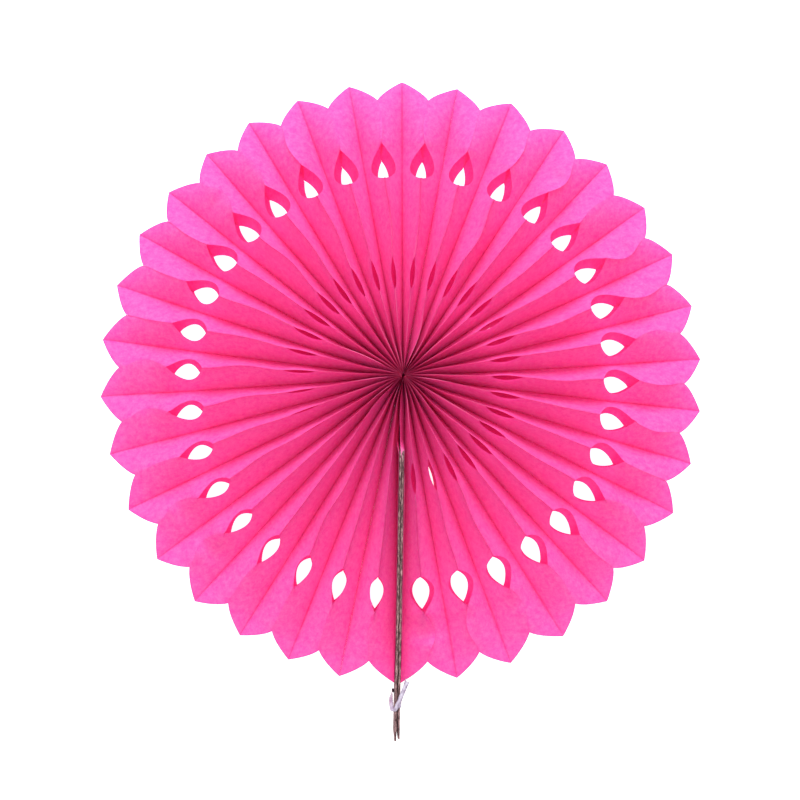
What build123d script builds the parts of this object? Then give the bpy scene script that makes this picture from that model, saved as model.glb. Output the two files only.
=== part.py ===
"""Tissue paper fan rosette, opened to a full circle and lying on its back, front face up.

The fan is a stack of tissue sleeves standing on edge round a hub. Each sleeve is two leaves joined
along their front edges (a front ridge) and along their back edges (a back ridge), and neighbouring
sleeves are glued together along the middle line of their leaves (a valley). Two chipboard strips
close the circle at the seam. Millimetres, +Z along the fan's axis towards its front, -Y along the
seam, origin on the fan's axis in the plane that the back of the hub rests on.
"""

import os
from math import asin, cos, degrees, radians, sin, sqrt

from build123d import *

# Overall size
sleeve_count = 34
fan_radius = 150.0  # axis to the pointed tip of a petal
leaf_width = 37.0  # front edge to back edge of a leaf, which is the fan's depth at the hub

# Tissue
tissue = 0.12  # leaf thickness, with its crinkle
glue_height = 1.6  # glued strip along a leaf's middle line
fin_height = 1.0  # strip joined along a ridge
hub_radius = 3.0  # inner ends of the leaves

# Die cuts in a leaf, with depths from the leaf's edge
teardrop_from_tip = 34.5  # from the petal's tip back to the teardrop's point
teardrop_length = 17.0
teardrop_depth = 11.5
slit_inner = 42.5  # slits are placed from the axis
slit_outer = 58.5
slit_depth = 5.0
lobe_start = 24.0  # from the petal's tip back to where the straight edge turns into the round lobe
lobe_gap = 0.6  # between the free lobes of one sleeve, beyond the teardrop

# End boards
board_thickness = 1.15
board_start = 12.0
board_tails = (25.1, 24.1)  # bare ends beyond the petals, left then right
board_spread = 0.35  # how far each board leans away from the seam's plane at the fan's edge
board_clearance = 0.02

# Binding thread through the inner ends of the leaves
thread_circle = 4.5
thread_radius = 0.25
thread_hole_radius = 0.4

# Film tie round the two tails
tie_width = 2.3
tie_thickness = 0.2
tie_clearance = 0.06
tie_from_rim = 8.0  # petal tips to the middle of the band
tie_end_length = 14.5
tie_end_angle = 62.0

half_leaf = leaf_width / 2
mid_height = half_leaf
half_glue = glue_height / 2
teardrop_outer = fan_radius - teardrop_from_tip
teardrop_inner = teardrop_outer - teardrop_length
board_run = fan_radius - board_start
stations = [hub_radius, board_start]
stations += [board_start + share * board_run for share in (0.24, 0.5, 0.72, 0.86)]
stations += [fan_radius + 2.0]


def board_inner_face(distance):
    """Distance of a board's inner face from the seam's plane."""
    lean = (distance - board_start) / board_run
    return board_clearance + board_spread * lean


def slot_half_width(distance):
    """Distance of the outermost valley from the seam's plane."""
    closed = tissue + board_clearance / 2
    if distance >= board_start:
        return board_inner_face(distance) + board_thickness + board_clearance + tissue
    full = board_inner_face(board_start) + board_thickness + board_clearance + tissue
    return closed + (full - closed) * (distance - hub_radius) / (board_start - hub_radius)


def valley_angle(index, distance):
    """Direction of a valley: the seam takes its slot and the sleeves share the rest evenly."""
    slot = degrees(asin(slot_half_width(distance) / distance))
    return -90 + slot + index * (360 - 2 * slot) / sleeve_count


def ridge_angle(index, distance):
    return (valley_angle(index, distance) + valley_angle(index + 1, distance)) / 2


def half_angle(distance):
    return radians(valley_angle(1, distance) - valley_angle(0, distance)) / 2


def half_chord(distance):
    return distance * sin(half_angle(distance))


def half_height(distance):
    """Height of a ridge over the valleys: the leaf keeps its width as the sleeve opens."""
    return sqrt(half_leaf**2 - half_chord(distance) ** 2)


def section_plane(index, distance):
    """Upright plane across a sleeve, through both its valleys at one distance from the axis."""
    angle = radians(ridge_angle(index, distance))
    reach = distance * cos(half_angle(distance))
    return Plane(
        origin=(reach * cos(angle), reach * sin(angle), mid_height),
        x_dir=(-sin(angle), cos(angle), 0),
        z_dir=(cos(angle), sin(angle), 0),
    )


def side_plane(index):
    """Upright plane along a sleeve: x runs outwards from the axis, y up from mid height."""
    angle = radians(ridge_angle(index, fan_radius))
    return Plane(
        origin=(0, 0, mid_height),
        x_dir=(cos(angle), sin(angle), 0),
        z_dir=(sin(angle), -cos(angle), 0),
    )


def outer_corners(distance):
    """One sleeve's outside: glued strips at the valleys, a thin fin along each ridge."""
    wide = half_chord(distance)
    high = half_height(distance)
    shoulder = high - fin_height
    quarter = [(wide, half_glue), (tissue, shoulder), (tissue, high)]
    upper = quarter + [(-x, y) for x, y in reversed(quarter)]
    return upper + [(x, -y) for x, y in reversed(upper)]


def inner_corners(distance):
    """The sleeve's hollow, one leaf thickness inside the outside."""
    wide = half_chord(distance)
    run = wide - tissue
    rise = half_height(distance) - fin_height - half_glue
    level = tissue * sqrt(run**2 + rise**2) / rise
    side = wide - tissue
    bend = half_glue + (tissue - level) * rise / run
    apex = half_glue + (wide - level) * rise / run
    return [(side, bend), (0, apex), (-side, bend), (-side, -bend), (0, -apex), (side, -bend)]


def leaf_height(depth_from_edge, distance):
    """Height over mid height of a point that lies so far in from the leaf's edge."""
    return (half_leaf - depth_from_edge) * half_height(distance) / half_leaf


def lobe_profile(tip):
    """Everything outside the two round lobes that meet in the petal's pointed tip."""
    start = tip - lobe_start
    radius = (lobe_start**2 + half_leaf**2) / (2 * half_leaf)
    bow = radians(50)
    bow_distance = start + radius * cos(bow)
    bow_depth = radius * (1 - sin(bow))
    edge = half_height(start)
    bow_height = leaf_height(bow_depth, bow_distance)
    clear = leaf_width
    beyond = tip + clear
    ThreePointArc((start, edge), (bow_distance, bow_height), (tip, 0))
    ThreePointArc((tip, 0), (bow_distance, -bow_height), (start, -edge))
    Polyline((start, -edge), (start, -clear), (beyond, -clear))
    Polyline((beyond, -clear), (beyond, clear), (start, clear), (start, edge))


def teardrop_profile(side):
    """Half of a teardrop hole, cut from a ridge: round towards the hub, pointed outwards."""
    inner_edge = side * (half_height(teardrop_inner) + tissue)
    outer_edge = side * (half_height(teardrop_outer) + tissue)
    drop = side * teardrop_depth * half_height(teardrop_inner) / half_leaf
    Bezier(
        (teardrop_inner, inner_edge),
        (teardrop_inner - 0.03 * teardrop_length, inner_edge - 1.1 * drop),
        (teardrop_inner + 0.5 * teardrop_length, inner_edge - 1.65 * drop),
        (teardrop_outer, outer_edge),
    )
    over = side * leaf_width
    Polyline(
        (teardrop_outer, outer_edge),
        (teardrop_outer, over),
        (teardrop_inner, over),
        (teardrop_inner, inner_edge),
    )


def slit_profile(side):
    """Half of a lens-shaped slit, cut from a ridge."""
    inner_edge = side * (half_height(slit_inner) + tissue)
    outer_edge = side * (half_height(slit_outer) + tissue)
    middle = (slit_inner + slit_outer) / 2
    bottom = side * leaf_height(slit_depth, middle)
    over = side * leaf_width
    ThreePointArc((slit_inner, inner_edge), (middle, bottom), (slit_outer, outer_edge))
    Polyline((slit_outer, outer_edge), (slit_outer, over), (slit_inner, over), (slit_inner, inner_edge))


def make_sleeve(index):
    """Two leaves joined along their front and back edges, with their die cuts."""
    reach = half_chord(fan_radius) * 2
    tip = fan_radius * cos(half_angle(fan_radius))
    with BuildPart() as sleeve:
        for distance in stations:
            with BuildSketch(section_plane(index, distance)):
                with BuildLine():
                    Polyline(*outer_corners(distance), close=True)
                make_face()
        loft(ruled=True)
        for distance in stations:
            with BuildSketch(section_plane(index, distance)):
                with BuildLine():
                    Polyline(*inner_corners(distance), close=True)
                make_face()
        loft(ruled=True, mode=Mode.SUBTRACT)
        with BuildSketch(side_plane(index)):
            with BuildLine():
                lobe_profile(tip)
            make_face()
            for side in (1, -1):
                with BuildLine():
                    teardrop_profile(side)
                make_face()
                with BuildLine():
                    slit_profile(side)
                make_face()
            with Locations((thread_circle, 0)):
                Circle(thread_hole_radius)
        extrude(amount=reach, both=True, mode=Mode.SUBTRACT)
        with BuildSketch(section_plane(index, teardrop_outer)):
            Rectangle(lobe_gap, leaf_width)
        extrude(amount=teardrop_from_tip, mode=Mode.SUBTRACT)
    return sleeve.part


def make_board(side, tail):
    """A chipboard strip on edge; side is -1 left of the seam and 1 right of it."""
    end = fan_radius + tail
    start_face = side * board_inner_face(board_start)
    end_face = side * board_inner_face(end)
    thick = side * board_thickness
    with BuildPart() as board:
        with BuildSketch():
            Polygon(
                (start_face, -board_start),
                (end_face, -end),
                (end_face + thick, -end),
                (start_face + thick, -board_start),
                align=None,
            )
        extrude(amount=leaf_width)
    return board.part


def make_end_leaf(side):
    """The flat leaf glued on a board's outer face, drawn in to the hub past the board's end."""
    outside = []
    inside = []
    for distance in stations:
        angle = radians(valley_angle(0, distance))
        x = distance * cos(angle)
        y = distance * sin(angle)
        outside.append((side * x, y))
        inside.append((side * (x - tissue), y))
    side_view = Plane(origin=(0, 0, mid_height), x_dir=(0, -1, 0), z_dir=(-1, 0, 0))
    with BuildPart() as leaf:
        with BuildSketch():
            Polygon(*outside, *reversed(inside), align=None)
        extrude(amount=leaf_width)
        with BuildSketch(side_view):
            with BuildLine():
                lobe_profile(fan_radius)
            make_face()
            with Locations((thread_circle, 0)):
                Circle(thread_hole_radius)
        extrude(amount=leaf_width, both=True, mode=Mode.SUBTRACT)
    return leaf.part


def make_tie():
    """A narrow film band round both tails, its end carried across the front and cut off loose."""
    place = fan_radius + tie_from_rim
    hole_width = 2 * (board_inner_face(place + tie_width) + board_thickness + tie_clearance)
    hole_height = leaf_width + 2 * tie_clearance
    band_plane = Plane(origin=(0, -place, mid_height), x_dir=(1, 0, 0), z_dir=(0, -1, 0))
    band_top = leaf_width + tie_clearance
    half_band = hole_width / 2 + tie_thickness
    end_width = tie_width * 0.9
    end_start = (-half_band + end_width / 2, -place - tie_width, 0)
    with BuildPart() as tie:
        with BuildSketch(band_plane):
            RectangleRounded(2 * half_band, hole_height + 2 * tie_thickness, tie_thickness * 0.9)
            Rectangle(hole_width, hole_height, mode=Mode.SUBTRACT)
        extrude(amount=tie_width / 2, both=True)
        with BuildSketch(Plane.XY.offset(band_top)):
            with Locations(Location(end_start, (0, 0, tie_end_angle))):
                Rectangle(tie_end_length, end_width, align=(Align.MIN, Align.CENTER))
                with Locations((tie_end_length, 0)):
                    RegularPolygon(end_width / 2, 3, rotation=180, mode=Mode.SUBTRACT)
        extrude(amount=tie_thickness)
    return tie.part


with BuildPart() as hub_thread:
    with Locations((0, 0, mid_height)):
        Torus(thread_circle, thread_radius)

pieces = {f"tissue_sleeve_{index + 1:02d}": make_sleeve(index) for index in range(sleeve_count)}
pieces["end_board_left"] = make_board(-1, board_tails[0])
pieces["end_board_right"] = make_board(1, board_tails[1])
pieces["end_leaf_left"] = make_end_leaf(-1)
pieces["end_leaf_right"] = make_end_leaf(1)
pieces["hub_thread"] = hub_thread.part
pieces["film_tie"] = make_tie()

os.makedirs("parts", exist_ok=True)
for node, piece in pieces.items():
    piece.label = node
    export_step(piece, f"parts/{node}.step")
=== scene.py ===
import math
import random

import bmesh
import bpy
from mathutils import Matrix, Vector, noise


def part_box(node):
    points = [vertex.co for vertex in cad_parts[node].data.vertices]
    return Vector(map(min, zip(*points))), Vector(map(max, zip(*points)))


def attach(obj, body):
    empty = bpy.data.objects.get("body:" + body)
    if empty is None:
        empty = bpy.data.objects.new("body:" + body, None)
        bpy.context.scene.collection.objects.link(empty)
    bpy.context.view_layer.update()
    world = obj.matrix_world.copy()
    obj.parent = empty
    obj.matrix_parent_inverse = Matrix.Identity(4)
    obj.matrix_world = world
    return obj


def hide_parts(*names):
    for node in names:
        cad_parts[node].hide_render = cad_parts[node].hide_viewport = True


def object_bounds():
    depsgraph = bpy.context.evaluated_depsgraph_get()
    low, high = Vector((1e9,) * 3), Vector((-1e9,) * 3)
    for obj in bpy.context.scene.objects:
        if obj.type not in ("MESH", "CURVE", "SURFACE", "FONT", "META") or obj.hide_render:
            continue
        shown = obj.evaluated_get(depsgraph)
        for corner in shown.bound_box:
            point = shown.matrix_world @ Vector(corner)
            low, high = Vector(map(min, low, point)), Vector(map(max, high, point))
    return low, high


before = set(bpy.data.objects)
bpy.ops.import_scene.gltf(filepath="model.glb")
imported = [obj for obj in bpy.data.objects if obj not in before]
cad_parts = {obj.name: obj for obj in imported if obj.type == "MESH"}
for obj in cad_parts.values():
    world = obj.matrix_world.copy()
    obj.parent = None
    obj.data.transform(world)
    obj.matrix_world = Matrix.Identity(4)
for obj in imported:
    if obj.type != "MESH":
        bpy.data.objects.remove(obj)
cad_low, cad_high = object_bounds()

# ---------------------------------------------------------------- sizes, from the frame
MM = 0.001
SLEEVES = sum(name.startswith("tissue_sleeve_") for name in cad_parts)
FAN_RADIUS = cad_high.y
board_low, board_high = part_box("end_board_left")
HALF_LEAF = (board_high.z - board_low.z) / 2
MID = (board_high.z + board_low.z) / 2
TAIL_Y = board_low.y

# ---------------------------------------------------------------- sizes of what scene.py adds
HUB = 0.9 * MM  # where the leaves start, from the fan's middle
BOARD_START = 12 * MM
BOARD_THICKNESS = 1.05 * MM
BOARD_GAP = 0.04 * MM  # from the fan's middle plane to a board
SLOT_AT_HUB = 0.12 * MM  # half widths of the room at the seam
SLOT_AT_BOARD = 1.25 * MM
SLOT_AT_RIM = 1.4 * MM
LEAF_GAP = 0.004 * MM
GLUE = 0.8 * MM  # height, each way, of the strip that glues a leaf to its neighbour
FIN = 1.0 * MM  # height of the upright strip where a sleeve's two leaves join
RIDGE_HIGHLIGHT_HEIGHT = 2.4 * MM  # height of the band along the ridge tops tinted lighter pink: a painted highlight where the pressed edges catch light
SLIT = (42.5 * MM, 58.5 * MM)  # from and to, out from the fan's middle
SLIT_HALF_WIDTH = 1.15 * MM
OPEN_BACK_SLITS = (1, 11)  # the sleeves whose back slit stands open behind the front one
TEARDROP = (98.0 * MM, 115.6 * MM)
TEARDROP_HALF_WIDTH = 6.0 * MM
TEARDROP_CURVE = ((0, 0), (0.16, 0.95), (0.42, 1.68), (1, 0))  # along the hole, half width
LOBE_WIDEST = 127 * MM  # where a petal's free round lobe laps most
NOTCH = 140 * MM  # where two petals' lobes part
LAP_GAP = 0.45 * MM
CRINKLE = 0.16 * MM
RIBBON_HALF_WIDTH = 1.0 * MM
RIBBON_THICKNESS = 0.12 * MM

# The holes stand less open beside the seam's left side: from and to which sleeve, how much less.
LESS_OPEN = (21, 31, 0.42)

# The back holes don't quite line up with the front ones. Read off: sleeve, how far out in mm, and
# share of the front hole's width.
BACK_HOLES = (
    (0, 1.3, 0.7), (5, 0.5, 0.66), (9, 1.7, 0.68), (12, 0.8, 0.6), (14, 0.0, 0.5), (16, -1.5, 0.43),
    (18, -1.2, 0.45), (21, 0.4, 0.55), (23, 2.6, 0.78), (25, 4.2, 0.9), (28, 3.4, 1.0), (33, 2.2, 1.05),
)

# How far the upper lobe of each ridge laps over the other one, in mm, one value a sleeve, read off.
# Sleeves count from the seam, anticlockwise. Above zero the petal further on lies on top, and below
# zero the petal before it.
FRONT_LAPS = (
    -4.6, 3.0, -2.9, -1.4, 1.1, -3.4, 0.3, 2.2, 1.6, -3.0, 2.7, 4.3, -1.7, 3.9, 1.9, 0.3, -1.5,
    1.3, 1.0, -2.0, 2.6, 4.3, -0.9, -0.4, -0.4, 4.0, 4.0, 1.0, 4.2, 5.0, 1.0, 0.4, 0.5, 1.7,
)

# The fan is opened by hand, so its valleys crowd and spread a little in turn round the circle.
DRIFT = 1.0  # degrees
DRIFT_SLEEVES = 13  # sleeves from one crowding to the next

rng = random.Random(34)
BACK_LAPS = [rng.choice((-1, 1)) * rng.uniform(0.3, 4.5) for _ in range(SLEEVES)]
TIP_SHIFT = [rng.uniform(-0.9, 0.1) * MM for _ in range(SLEEVES + 1)]
VALLEY_JITTER = [rng.uniform(-0.25, 0.25) for _ in range(SLEEVES + 1)]
RIDGE_WANDER = [(rng.gauss(0.7, 0.8) * MM, rng.gauss(0.1, 0.55) * MM) for _ in range(SLEEVES)]
FIN_LEAN = [rng.uniform(-0.45, 0.45) * MM for _ in range(SLEEVES)]
VALLEY_JITTER[0] = VALLEY_JITTER[SLEEVES] = 0


def smooth(value):
    value = max(0.0, min(1.0, value))
    return value * value * (3 - 2 * value)


def ramp(value, start, end):
    return smooth((value - start) / (end - start))


def mix(a, b, share):
    return a + (b - a) * share


# ---------------------------------------------------------------- where the leaves stand
def slot_half_width(distance):
    """Half the width that the boards and end leaves take up at the seam."""
    if distance < BOARD_START:
        return mix(SLOT_AT_HUB, SLOT_AT_BOARD, (distance - HUB) / (BOARD_START - HUB))
    return mix(SLOT_AT_BOARD, SLOT_AT_RIM, (distance - BOARD_START) / (FAN_RADIUS - BOARD_START))


def along_table(table, index):
    """The values of a table at a sleeve's number, straight between its rows."""
    for first, last in zip(table, table[1:]):
        if first[0] <= index <= last[0]:
            share = (index - first[0]) / (last[0] - first[0])
            return [mix(a, b, share) for a, b in zip(first[1:], last[1:])]


def opening_drift(index):
    """How far a valley stands off even spacing, in degrees: none at the seam."""
    at_seam = ramp(index, 0, 3) * ramp(SLEEVES - index, 0, 3)
    return DRIFT * at_seam * math.sin(2 * math.pi * (index - 1) / DRIFT_SLEEVES)


def valley_direction(index, distance):
    slot = math.degrees(math.asin(min(1.0, slot_half_width(distance) / distance)))
    even = -90 + slot + index * (360 - 2 * slot) / SLEEVES
    off = opening_drift(index) * mix(0.6, 1, ramp(distance, 0, 60 * MM))
    return math.radians(even + off + VALLEY_JITTER[index])


def valley_point(index, distance):
    direction = valley_direction(index, distance)
    return Vector((distance * math.cos(direction), distance * math.sin(direction), 0))


def openness(index):
    """How wide the sleeve's holes stand open: full for most, less next to the seam's left side."""
    start, end, share = LESS_OPEN
    return 1 - share * ramp(index, start, end)


# ---------------------------------------------------------------- one wing of one leaf
HALVINGS = 18


def curve_point(corners, share):
    """A point of the cubic curve with these four control points."""
    rest = 1 - share
    weights = (rest**3, 3 * rest * rest * share, 3 * rest * share * share, share**3)
    x = sum(weight * corner[0] for weight, corner in zip(weights, corners))
    z = sum(weight * corner[1] for weight, corner in zip(weights, corners))
    return x, z


def share_at(corners, x):
    """How far along the curve its first coordinate reaches x."""
    low, high = 0.0, 1.0
    for _ in range(HALVINGS):
        middle = (low + high) / 2
        if curve_point(corners, middle)[0] < x:
            low = middle
        else:
            high = middle
    return (low + high) / 2


def notch_half_width(index, distance, face):
    """Half the width of the die-cut hole in the ridge here, in plan, or zero."""
    open_share = openness(index)
    shift, width = (0, 1) if face > 0 else along_table(BACK_HOLES, index)
    start = TEARDROP[0] + max(shift * MM, 0)
    end = TEARDROP[1] + min(shift * MM, 0)
    if start < distance < end:
        along = share_at(TEARDROP_CURVE, (distance - start) / (end - start))
        half = curve_point(TEARDROP_CURVE, along)[1]
        return half * width * TEARDROP_HALF_WIDTH * mix(0.35, 1, (open_share - 0.4) / 0.6)
    if SLIT[0] < distance < SLIT[1]:
        along = (distance - SLIT[0]) / (SLIT[1] - SLIT[0])
        half = math.sin(math.pi * along) ** 0.8 * SLIT_HALF_WIDTH
        if face < 0:
            return half if index in OPEN_BACK_SLITS else 0.0
        return half * max(0.03, (open_share - 0.6) / 0.4)
    return 0.0


def lobe_bump(distance):
    """How much of a lobe's greatest lap there is here: none at the teardrop's tip and at the notch."""
    if distance <= TEARDROP[1] or distance >= NOTCH:
        return 0.0
    if distance < LOBE_WIDEST:
        return math.sin(math.pi / 2 * (distance - TEARDROP[1]) / (LOBE_WIDEST - TEARDROP[1]))
    return 0.5 * (1 + math.cos(math.pi * (distance - LOBE_WIDEST) / (NOTCH - LOBE_WIDEST)))


def lobe_reach(distance, half_chord, lap, notch_chord):
    """Distance in plan from the valley to the free edge of a lobe."""
    if distance < NOTCH:
        return half_chord + lap * lobe_bump(distance)
    left = max(0.0, (FAN_RADIUS - distance) / (FAN_RADIUS - NOTCH))
    return notch_chord * (1.45 * left - 0.45 * left * left)


def ridge_height(half_chord):
    return math.sqrt(max(HALF_LEAF**2 - half_chord**2, 0))


def edge_height(distance, reach, half_chord):
    """Height of a leaf's edge over mid height."""
    if distance <= TEARDROP[1]:
        return ridge_height(half_chord)
    left = (FAN_RADIUS - distance) / (FAN_RADIUS - TEARDROP[1])
    start = ridge_height(TEARDROP[1] * math.sin(math.pi / SLEEVES))
    fall = start * max(0.0, left) ** 0.75
    return min(fall, math.sqrt(max(HALF_LEAF**2 - reach**2, 0)))


def wing_corners(distance, reach, height):
    """Control points of a wing's section: upright at the crease, rounder in the free lobes."""
    free = ramp(distance, TEARDROP[1] - 4 * MM, LOBE_WIDEST)
    near_hub = 1 - ramp(distance, 8 * MM, 60 * MM)
    crease = mix(0.27, 0.10, near_hub)
    shoulder = mix(0.70, 0.88, near_hub)
    glue = min(GLUE, 0.2 * height)
    return (
        (LEAF_GAP, glue),
        (LEAF_GAP + crease * reach, glue + mix(0.35, 0.44, free) * height),
        (shoulder * reach, mix(0.63, 0.88, free) * height),
        (reach, height),
    )


def wander(index, distance):
    """Sideways drift of the joined ridge between its fixed places."""
    outer, inner = RIDGE_WANDER[index]
    if SLIT[1] < distance < TEARDROP[0]:
        return outer * math.sin(math.pi * (distance - SLIT[1]) / (TEARDROP[0] - SLIT[1])) ** 2
    if HUB < distance < SLIT[0]:
        return inner * math.sin(math.pi * (distance - HUB) / (SLIT[0] - HUB)) ** 2
    return 0.0


def row_distances():
    """Rows of a leaf from the hub to its tip, close together where its outline bends."""
    hub_rows = [mix(HUB, SLIT[0], (k / 13) ** 1.3) for k in range(13)]
    slit_rows = [mix(SLIT[0], SLIT[1], k / 10) for k in range(10)]
    joined_rows = [mix(SLIT[1], TEARDROP[0], k / 10) for k in range(10)]
    drop_rows = [mix(TEARDROP[0], TEARDROP[1], (k / 18) ** 1.5) for k in range(18)]
    lobe_rows = [mix(TEARDROP[1], NOTCH, k / 16) for k in range(16)]
    tip_rows = [mix(NOTCH, FAN_RADIUS, k / 8) for k in range(9)]
    return hub_rows + slit_rows + joined_rows + drop_rows + lobe_rows + tip_rows


ROWS = row_distances()
COLUMNS = 12
SECTION_STEPS = 24


def wing_row(index, distance, side, face):
    """Points (reach from the valley, height from mid height) from the crease to the edge of a wing.

    side is 1 for the leaf before the ridge and -1 for the leaf after it. face is 1 at the front and
    -1 at the back.
    """
    first, last = valley_point(index, distance), valley_point(index + 1, distance)
    half_chord = (last - first).length / 2
    notch_chord = (valley_point(index + 1, NOTCH) - valley_point(index, NOTCH)).length / 2
    lap = (FRONT_LAPS if face > 0 else BACK_LAPS)[index]
    on_top = (lap < 0) == (side > 0)
    shift = wander(index, distance) * -side
    if distance <= TEARDROP[1]:
        height = ridge_height(half_chord)
        top = height - FIN
        reach = half_chord - LEAF_GAP + shift
        corners = wing_corners(distance, reach, top)
        notch = notch_half_width(index, distance, face)
        if notch > 0:
            end = share_at(corners, reach - notch)
            return [curve_point(corners, end * k / COLUMNS) for k in range(COLUMNS + 1)]
        points = [curve_point(corners, k / (COLUMNS - 1)) for k in range(COLUMNS)]
        settle = ramp(distance, HUB, 12 * MM)
        lean = FIN_LEAN[index] * math.sin(distance * 90 + index * 2.3) * -side * settle
        return points + [(reach + lean, height)]
    over = lobe_reach(distance, half_chord, abs(lap) * MM, notch_chord)
    over_corners = wing_corners(distance, over, edge_height(distance, over, half_chord))
    if on_top:
        return [curve_point(over_corners, k / COLUMNS) for k in range(COLUMNS + 1)]
    under = lobe_reach(distance, half_chord, (1.0 + 0.7 * abs(lap)) * MM, notch_chord)
    under_corners = wing_corners(distance, under, edge_height(distance, under, half_chord))
    over_section = [curve_point(over_corners, k / SECTION_STEPS) for k in range(SECTION_STEPS + 1)]
    points = []
    for k in range(COLUMNS + 1):
        x, z = curve_point(under_corners, k / COLUMNS)
        across = 2 * half_chord - x
        if 0 < across <= over_section[-1][0]:
            points.append((x, min(z, height_on(over_section, across) - LAP_GAP)))
        else:
            points.append((x, z))
    return points


def height_on(section, x):
    """Height of a sampled section at a distance from its valley."""
    for (x0, z0), (x1, z1) in zip(section, section[1:]):
        if x0 <= x <= x1:
            return mix(z0, z1, (x - x0) / max(x1 - x0, 1e-9))
    return section[-1][1]


def leaf_points(index, side):
    """The whole leaf as rows of points, from its back edge over the crease to its front edge."""
    rows = []
    valley = index if side > 0 else index + 1
    for distance in ROWS:
        stretch = 1 + TIP_SHIFT[valley] / FAN_RADIUS * ramp(distance, NOTCH, FAN_RADIUS)
        first = valley_point(index, distance * stretch)
        last = valley_point(index + 1, distance * stretch)
        across = (last - first).normalized() * side
        start = first if side > 0 else last
        front = wing_row(index, distance, side, 1)
        back = wing_row(index, distance, side, -1)
        section = [(x, -z) for x, z in reversed(back)] + front
        row = []
        for x, z in section:
            point = start + across * x
            point.z = MID + z
            row.append(crinkle(point, index * 2 + side, distance, x))
        rows.append(row)
    return rows


def crinkle(point, seed, distance, x):
    """Slight waves in the tissue, none at the crease."""
    size = CRINKLE * ramp(x, 0, 6 * MM) * ramp(distance, 20 * MM, 70 * MM)
    wave = noise.noise(Vector((point.x * 90, point.y * 90, seed * 7.3)))
    fine = noise.noise(Vector((point.x * 260, point.y * 260, seed * 3.1)))
    point.z += size * (wave + 0.35 * fine)
    return point


# ---------------------------------------------------------------- meshes
def grid_faces(rows, columns, start=0, flip=False):
    faces = []
    for r in range(rows - 1):
        for c in range(columns - 1):
            a = start + r * columns + c
            face = (a, a + columns, a + columns + 1, a + 1)
            faces.append(face[::-1] if flip else face)
    return faces


def new_piece(name, vertices, faces, material, thickness=0.0):
    mesh = bpy.data.meshes.new(name)
    mesh.from_pydata([tuple(v) for v in vertices], [], faces)
    mesh.validate()
    for polygon in mesh.polygons:
        polygon.use_smooth = True
    mesh.materials.append(material)
    piece = bpy.data.objects.new(name, mesh)
    bpy.context.scene.collection.objects.link(piece)
    if thickness:
        shell = piece.modifiers.new("tissue thickness", "SOLIDIFY")
        shell.thickness = thickness
        shell.offset = 0
    return piece


def make_sleeve(index, material):
    vertices, faces = [], []
    for side in (1, -1):
        rows = leaf_points(index, side)
        start = len(vertices)
        for row in rows:
            vertices += row
        faces += grid_faces(len(rows), len(rows[0]), start, flip=side < 0)
    return new_piece(f"sleeve_{index + 1:02d}", vertices, faces, material)


def smooth_path(points, steps):
    """Points on a smooth curve through the given ones."""
    ends = [points[0]] + points + [points[-1]]
    path = []
    for a, b, c, d in zip(ends, ends[1:], ends[2:], ends[3:]):
        for k in range(steps):
            t = k / steps
            bend = (2 * a - 5 * b + 4 * c - d) * t * t
            twist = (3 * b - a - 3 * c + d) * t**3
            path.append(0.5 * (2 * b + (c - a) * t + bend + twist))
    return path + [points[-1]]


def board_top(distance):
    """Front edge of the boards, which slopes in under the end leaves near the hub."""
    return mix(board_high.z * 0.12, board_high.z, ramp(distance, 25 * MM, 38 * MM))


def make_board(side, node_name, material):
    """One chipboard strip: slightly bowed, its cut edges a little rough."""
    low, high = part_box(node_name)
    rows = 220
    vertices, faces = [], []
    for k in range(rows):
        y = mix(-BOARD_START, low.y, k / (rows - 1))
        lean = 0.13 * MM * (-y - BOARD_START) / (FAN_RADIUS - BOARD_START)
        lean += 0.09 * MM * ramp(-y, FAN_RADIUS + 16 * MM, -TAIL_Y)
        rough = 0.06 * MM * noise.noise(Vector((side * 3, y * 900, 0)))
        inner = side * (BOARD_GAP + lean + abs(rough))
        outer = side * (BOARD_GAP + lean + BOARD_THICKNESS + rough)
        top = board_top(-y) - 0.05 * MM + 0.12 * MM * noise.noise(Vector((side * 5, y * 1300, 2)))
        soft = side * 0.16 * MM
        vertices += [
            (inner, y, low.z), (outer, y, low.z), (outer, y, top - abs(soft)), (outer - soft, y, top),
            (inner + soft, y, top), (inner, y, top - abs(soft)),
        ]
    for k in range(rows - 1):
        for c in range(6):
            a, b = k * 6 + c, k * 6 + (c + 1) % 6
            faces.append((a, b, b + 6, a + 6))
    last = (rows - 1) * 6
    faces += [tuple(range(6))[::-1], tuple(range(last, last + 6))]
    board = new_piece(node_name.replace("end_", "chip"), vertices, faces, material)
    for polygon in board.data.polygons:
        polygon.use_smooth = False
    return board


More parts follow.
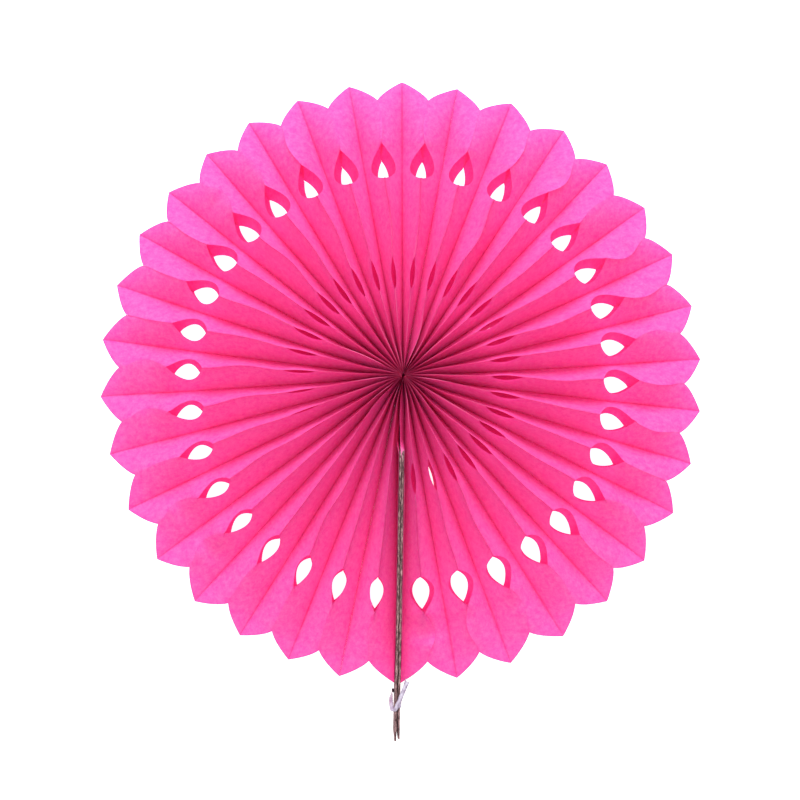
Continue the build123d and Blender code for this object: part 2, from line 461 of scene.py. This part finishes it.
def make_end_leaf(side, material):
    """The leaf glued on a board. Near the hub its front edge hangs over towards the left."""
    rows = 110
    vertices = []
    heights = [k / 14 for k in range(14)] + [0.955, 0.98, 1.0]
    for k in range(rows):
        distance = mix(HUB, FAN_RADIUS, (k / (rows - 1)) ** 1.15)
        wall = slot_half_width(distance) - 0.004 * MM
        left = max(0.0, (FAN_RADIUS - distance) / (24 * MM))
        reach = HALF_LEAF * (min(1.0, left) ** 0.62 if left < 1 else 1)
        if side > 0:
            over = ramp(distance, 1 * MM, 3 * MM) * (1 - ramp(distance, 30 * MM, 50 * MM))
            wave = 0.2 * wall * math.sin(distance * 260)
            edge = mix(wall + 0.3 * MM, wave * ramp(distance, 16 * MM, 24 * MM) - 1.02 * wall, over)
        else:
            loop = 1.2 * MM * ramp(distance, 20 * MM, 29 * MM) * (1 - ramp(distance, 31 * MM, 39 * MM))
            edge = mix(-0.9 * wall, -wall - 0.3 * MM - loop, ramp(distance, 14 * MM, 22 * MM))
        bend = max(board_top(distance), MID + GLUE)
        bend = min(bend, MID + reach - 1.5 * MM)
        row = []
        for share in heights:
            z = MID + reach * (2 * share - 1)
            row.append(Vector((mix(side * wall, edge, ramp(z, bend, MID + reach)), -distance, z)))
        vertices += row
    faces = grid_faces(rows, len(row), 0, flip=side < 0)
    return new_piece("leaf_on_board_" + ("right" if side > 0 else "left"), vertices, faces, material)


def make_tie(material):
    """Film ribbon: a loose end across the front, a fold, the loop round both tails, and its other end."""
    path = [
        (4.7, -145.8, 37.9), (3.2, -149.8, 37.8), (1.6, -154.0, 37.6), (-0.1, -158.2, 37.6),
        (-1.6, -160.9, 37.3), (-2.6, -160.0, 36.0), (-3.1, -157.2, 33.0), (-3.1, -155.2, 27.0),
        (-2.7, -154.6, 16.0), (-2.0, -155.2, 4.0), (-1.2, -156.0, 0.0), (1.2, -156.8, 0.0),
        (1.9, -157.2, 8.0), (1.9, -157.4, 24.0), (1.8, -157.8, 35.0), (1.4, -158.2, 37.25),
        (-1.2, -158.4, 37.3),
    ]
    across = [
        (0.88, -0.47, 0), (0.88, -0.47, 0), (0.88, -0.47, 0), (0.9, -0.4, -0.1),
        (1, -0.1, -0.2), (1, 0.2, 0.2), (0.95, 0.2, 0.3), (0.75, 0.5, 0.3),
        (0.2, 0.95, 0), (0, 1, 0), (0, 1, 0), (0, 1, 0),
        (0, 1, 0), (0, 1, 0), (0, 1, 0), (0, 1, 0),
        (0, 1, 0),
    ]
    points = smooth_path([Vector(p) * MM for p in path], 8)
    widths = smooth_path([Vector(w) for w in across], 8)
    curl = Vector((0, 0, 0.15 * MM))
    vertices = []
    for k, (point, width) in enumerate(zip(points, widths)):
        width = width.normalized() * RIBBON_HALF_WIDTH * (1.15 if k < 6 else 1)
        centre = points[3] if k < 3 else point
        vertices += [point - width, mix(point, centre, 0.6) - width * 0.5 + curl, centre + curl * 1.3]
        vertices += [mix(point, centre, 0.6) + width * 0.5 + curl, point + width]
    return new_piece("tie_ribbon", vertices, grid_faces(len(points), 5), material, RIBBON_THICKNESS)


# ---------------------------------------------------------------- materials
def new_material(name):
    material = bpy.data.materials.new(name)
    material.use_nodes = True
    tree = material.node_tree
    tree.nodes.clear()
    output = tree.nodes.new("ShaderNodeOutputMaterial")
    return material, tree, output


def node(tree, kind, **values):
    made = tree.nodes.new(kind)
    for key, value in values.items():
        if key in made.inputs.keys():
            made.inputs[key].default_value = value
        else:
            setattr(made, key, value)
    return made


def place_coordinates(tree, scale):
    source = node(tree, "ShaderNodeTexCoord")
    mapping = node(tree, "ShaderNodeMapping")
    mapping.inputs["Scale"].default_value = scale
    tree.links.new(source.outputs["Object"], mapping.inputs["Vector"])
    return mapping.outputs["Vector"]


def colour_ramp(tree, factor, stops):
    ramp_node = node(tree, "ShaderNodeValToRGB")
    elements = ramp_node.color_ramp.elements
    while len(elements) < len(stops):
        elements.new(0.5)
    for element, (position, colour) in zip(elements, stops):
        element.position = position
        element.color = (*colour, 1)
    tree.links.new(factor, ramp_node.inputs["Fac"])
    return ramp_node.outputs["Color"]


def tissue_material():
    """Matt dyed tissue: faint clouding, a painted highlight along the ridge tops, fine crinkle, and light
    from behind.
    """
    material, tree, output = new_material("hot_pink_tissue")
    place = place_coordinates(tree, (1, 1, 1))
    cloud = node(tree, "ShaderNodeTexNoise", Scale=420.0, Detail=6.0, Roughness=0.75)
    fibre = node(tree, "ShaderNodeTexNoise", Scale=1500.0, Detail=3.0, Roughness=0.65)
    for texture in (cloud, fibre):
        tree.links.new(place, texture.inputs["Vector"])
    tint = colour_ramp(tree, cloud.outputs["Fac"], ((0.32, (0.88, 0.07, 0.40)), (0.68, (0.97, 0.17, 0.52))))
    bump = node(tree, "ShaderNodeBump", Strength=0.22, Distance=0.0003)
    tree.links.new(fibre.outputs["Fac"], bump.inputs["Height"])
    face = node(tree, "ShaderNodeBsdfPrincipled", Roughness=0.75)
    face.inputs["Specular IOR Level"].default_value = 0.05
    # Painted highlight: the top band of each ridge is mixed towards a lighter pink, standing in for light
    # catching the pressed tissue edges.
    height = node(tree, "ShaderNodeSeparateXYZ")
    ridge_top = MID + HALF_LEAF
    highlight_span = {"From Min": ridge_top - RIDGE_HIGHLIGHT_HEIGHT, "From Max": ridge_top, "To Max": 0.85}
    ridge_highlight_mask = node(tree, "ShaderNodeMapRange", **highlight_span)
    painted_ridge_highlight = node(tree, "ShaderNodeMixRGB", Color2=(1.0, 0.28, 0.55, 1))
    tree.links.new(place, height.inputs["Vector"])
    tree.links.new(height.outputs["Z"], ridge_highlight_mask.inputs["Value"])
    tree.links.new(ridge_highlight_mask.outputs["Result"], painted_ridge_highlight.inputs["Fac"])
    tree.links.new(tint, painted_ridge_highlight.inputs["Color1"])
    tree.links.new(painted_ridge_highlight.outputs["Color"], face.inputs["Base Color"])
    tree.links.new(bump.outputs["Normal"], face.inputs["Normal"])
    through = node(tree, "ShaderNodeBsdfTranslucent", Color=(1.0, 0.04, 0.32, 1))
    blend = node(tree, "ShaderNodeMixShader", Fac=0.27)
    tree.links.new(face.outputs["BSDF"], blend.inputs[1])
    tree.links.new(through.outputs["BSDF"], blend.inputs[2])
    tree.links.new(blend.outputs["Shader"], output.inputs["Surface"])
    return material


def chipboard_material():
    """Raw grey-brown board with fibres along its length."""
    material, tree, output = new_material("grey_chipboard")
    along = place_coordinates(tree, (2.5, 0.35, 2.5))
    fibre = node(tree, "ShaderNodeTexNoise", Scale=1000.0, Detail=5.0, Roughness=0.75)
    tree.links.new(along, fibre.inputs["Vector"])
    stops = ((0.4, (0.02, 0.007, 0.009)), (0.5, (0.12, 0.05, 0.055)), (0.6, (0.42, 0.26, 0.26)))
    tint = colour_ramp(tree, fibre.outputs["Fac"], stops)
    bump = node(tree, "ShaderNodeBump", Strength=0.8, Distance=0.0003)
    tree.links.new(fibre.outputs["Fac"], bump.inputs["Height"])
    face = node(tree, "ShaderNodeBsdfPrincipled", Roughness=0.92)
    tree.links.new(tint, face.inputs["Base Color"])
    tree.links.new(bump.outputs["Normal"], face.inputs["Normal"])
    tree.links.new(face.outputs["BSDF"], output.inputs["Surface"])
    return material


def thread_material():
    material, tree, output = new_material("pink_thread")
    twist = place_coordinates(tree, (1, 1, 1))
    wave = node(tree, "ShaderNodeTexWave", Scale=900.0, Distortion=1.5)
    tree.links.new(twist, wave.inputs["Vector"])
    tint = colour_ramp(tree, wave.outputs["Fac"], ((0, (0.5, 0.03, 0.15)), (1, (0.85, 0.12, 0.4))))
    face = node(tree, "ShaderNodeBsdfPrincipled", Roughness=0.8)
    tree.links.new(tint, face.inputs["Base Color"])
    tree.links.new(face.outputs["BSDF"], output.inputs["Surface"])
    return material


def film_material():
    """Milky film: white where it catches light, faintly lilac where it is thin."""
    material, tree, output = new_material("frosted_film")
    place = place_coordinates(tree, (1, 1, 1))
    haze = node(tree, "ShaderNodeTexNoise", Scale=700.0, Detail=3.0)
    tree.links.new(place, haze.inputs["Vector"])
    tint = colour_ramp(tree, haze.outputs["Fac"], ((0.35, (0.28, 0.21, 0.31)), (0.65, (0.5, 0.45, 0.56))))
    face = node(tree, "ShaderNodeBsdfPrincipled", Roughness=0.35)
    face.inputs["Specular IOR Level"].default_value = 0.6
    tree.links.new(tint, face.inputs["Base Color"])
    tree.links.new(face.outputs["BSDF"], output.inputs["Surface"])
    return material


# ---------------------------------------------------------------- stage, light and camera
def make_floor():
    bm = bmesh.new()
    bmesh.ops.create_grid(bm, x_segments=2, y_segments=2, size=3.0)
    mesh = bpy.data.meshes.new("floor")
    bm.to_mesh(mesh)
    bm.free()
    floor = bpy.data.objects.new("floor", mesh)
    floor.location.z = cad_low.z
    bpy.context.scene.collection.objects.link(floor)
    material, tree, output = new_material("pale_floor")
    face = node(tree, "ShaderNodeBsdfPrincipled", Roughness=0.9)
    face.inputs["Base Color"].default_value = (0.7, 0.7, 0.7, 1)
    face.inputs["Emission Color"].default_value = (1, 1, 1, 1)
    face.inputs["Emission Strength"].default_value = 0.95
    tree.links.new(face.outputs["BSDF"], output.inputs["Surface"])
    mesh.materials.append(material)


def area_light(name, place, size, power):
    light = bpy.data.lights.new(name, "AREA")
    light.shape = "RECTANGLE"
    light.size, light.size_y = size
    light.energy = power
    lamp = bpy.data.objects.new(name, light)
    lamp.location = place
    lamp.rotation_euler = (-Vector(place)).to_track_quat("-Z", "Y").to_euler()
    bpy.context.scene.collection.objects.link(lamp)


def make_light():
    world = bpy.data.worlds.new("studio")
    world.use_nodes = True
    background = world.node_tree.nodes["Background"]
    background.inputs["Color"].default_value = (1, 1, 1, 1)
    background.inputs["Strength"].default_value = 0.6
    bpy.context.scene.world = world
    area_light("window", (0.0, 1.1, 0.9), (1.2, 0.8), 22)
    area_light("front_fill", (-0.1, -0.2, 1.4), (0.8, 0.8), 10)
    bpy.context.scene.view_settings.view_transform = "Standard"


CAMERA_HEIGHT = 0.655
CAMERA_PLACE = Vector((-0.014, -0.070, MID + CAMERA_HEIGHT))
CAMERA_ROLL = math.radians(1.0)
AIM = CAMERA_PLACE + Vector((0.012, 0.034, -CAMERA_HEIGHT))
FOCAL = 59.6
SENSOR_WIDTH = 36
HUB_IN_FRAME = (0.003, 0.0262)  # hub's middle right of and above the frame's centre, in frame widths


def make_camera():
    camera = bpy.data.cameras.new("camera")
    camera.lens = FOCAL
    camera.sensor_width = SENSOR_WIDTH
    holder = bpy.data.objects.new("camera", camera)
    bpy.context.scene.collection.objects.link(holder)
    look = (AIM - CAMERA_PLACE).normalized()
    up = Vector((math.sin(-CAMERA_ROLL), math.cos(CAMERA_ROLL), 0))
    right = look.cross(up).normalized()
    up = right.cross(look)
    holder.rotation_mode = "QUATERNION"
    turn = Matrix((right, up, -look)).transposed()
    holder.rotation_quaternion = turn.to_quaternion()
    holder.location = CAMERA_PLACE
    hub = Vector((0, 0, MID)) - CAMERA_PLACE
    reach = camera.lens / camera.sensor_width / hub.dot(look)
    camera.shift_x = hub.dot(right) * reach - HUB_IN_FRAME[0]
    camera.shift_y = hub.dot(up) * reach - HUB_IN_FRAME[1]
    camera.clip_start = 0.01
    bpy.context.scene.camera = holder


# ---------------------------------------------------------------- build
make_camera()
make_light()
make_floor()

tissue = tissue_material()
for index in range(SLEEVES):
    sleeve = make_sleeve(index, tissue)
    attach(sleeve, "root")
    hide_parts(f"tissue_sleeve_{index + 1:02d}")

board = chipboard_material()
for side, where in ((-1, "left"), (1, "right")):
    strip = make_board(side, f"end_board_{where}", board)
    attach(strip, "root")
    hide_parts(f"end_board_{where}")
    leaf = make_end_leaf(side, tissue)
    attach(leaf, "root")
    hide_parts(f"end_leaf_{where}")

ribbon = make_tie(film_material())
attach(ribbon, "root")
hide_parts("film_tie")

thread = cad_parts["hub_thread"]
thread.data.materials.clear()
thread.data.materials.append(thread_material())
